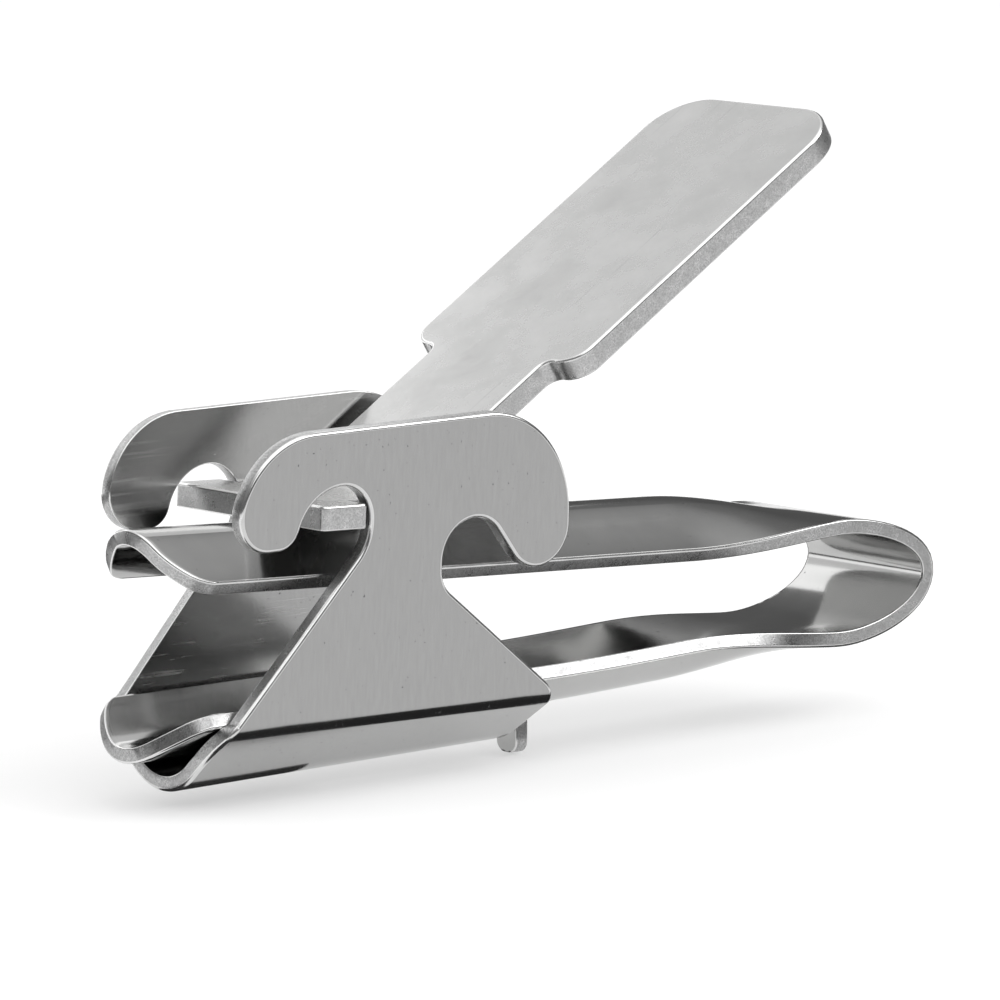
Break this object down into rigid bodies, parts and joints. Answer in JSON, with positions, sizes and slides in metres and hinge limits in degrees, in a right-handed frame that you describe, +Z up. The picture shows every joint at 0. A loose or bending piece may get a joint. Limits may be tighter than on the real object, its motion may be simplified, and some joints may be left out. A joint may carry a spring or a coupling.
{
  "type": "lever nutcracker",
  "caption": "Sheet steel nutcracker: sprung trough jaws held in a U-shaped side frame and squeezed by a plate lever hooked into its notches.",
  "frame": {"origin": "centre of the resting bounding box, on the plane of the stop tab's tip", "axes": "+X from the jaw tips towards the spring loop, +Y across the jaws, +Z up towards the lever"},
  "size_m": [0.0978, 0.0242, 0.0615],
  "materials": {
    "frame_steel": "satin, fine vertical grain, bright sheared edges",
    "strip_steel": "polished after forming, soft reflections",
    "lever_steel": "fine bead-blasted face, sheared edges"
  },
  "bodies": {
    "frame_and_lower_jaw": {"side_frame": "frame_steel", "lower_jaw_arm": "strip_steel", "spring_loop": "strip_steel"},
    "upper_jaw": {"upper_jaw_arm": "strip_steel"},
    "lever": {"press_lever": "lever_steel"}
  },
  "joints": [
    {"name": "lever_press", "type": "hinge", "parent": "frame_and_lower_jaw", "child": "lever", "pos_m": [-0.0307, 0, 0.0267], "axis": [0, 1, 0], "range_deg": [0, 28], "stiffness_Nm_per_rad": 0.05, "springref_deg": -20.05},
    {"name": "jaw_close", "type": "hinge", "parent": "frame_and_lower_jaw", "child": "upper_jaw", "pos_m": [0.0371, 0, 0.014], "axis": [0, -1, 0], "range_deg": [0, 4.2], "stiffness_Nm_per_rad": 2, "springref_deg": -1.72}
  ],
  "couplings": [
    {"joint": "jaw_close", "follows": "lever_press", "ratio": 0.138}
  ]
}
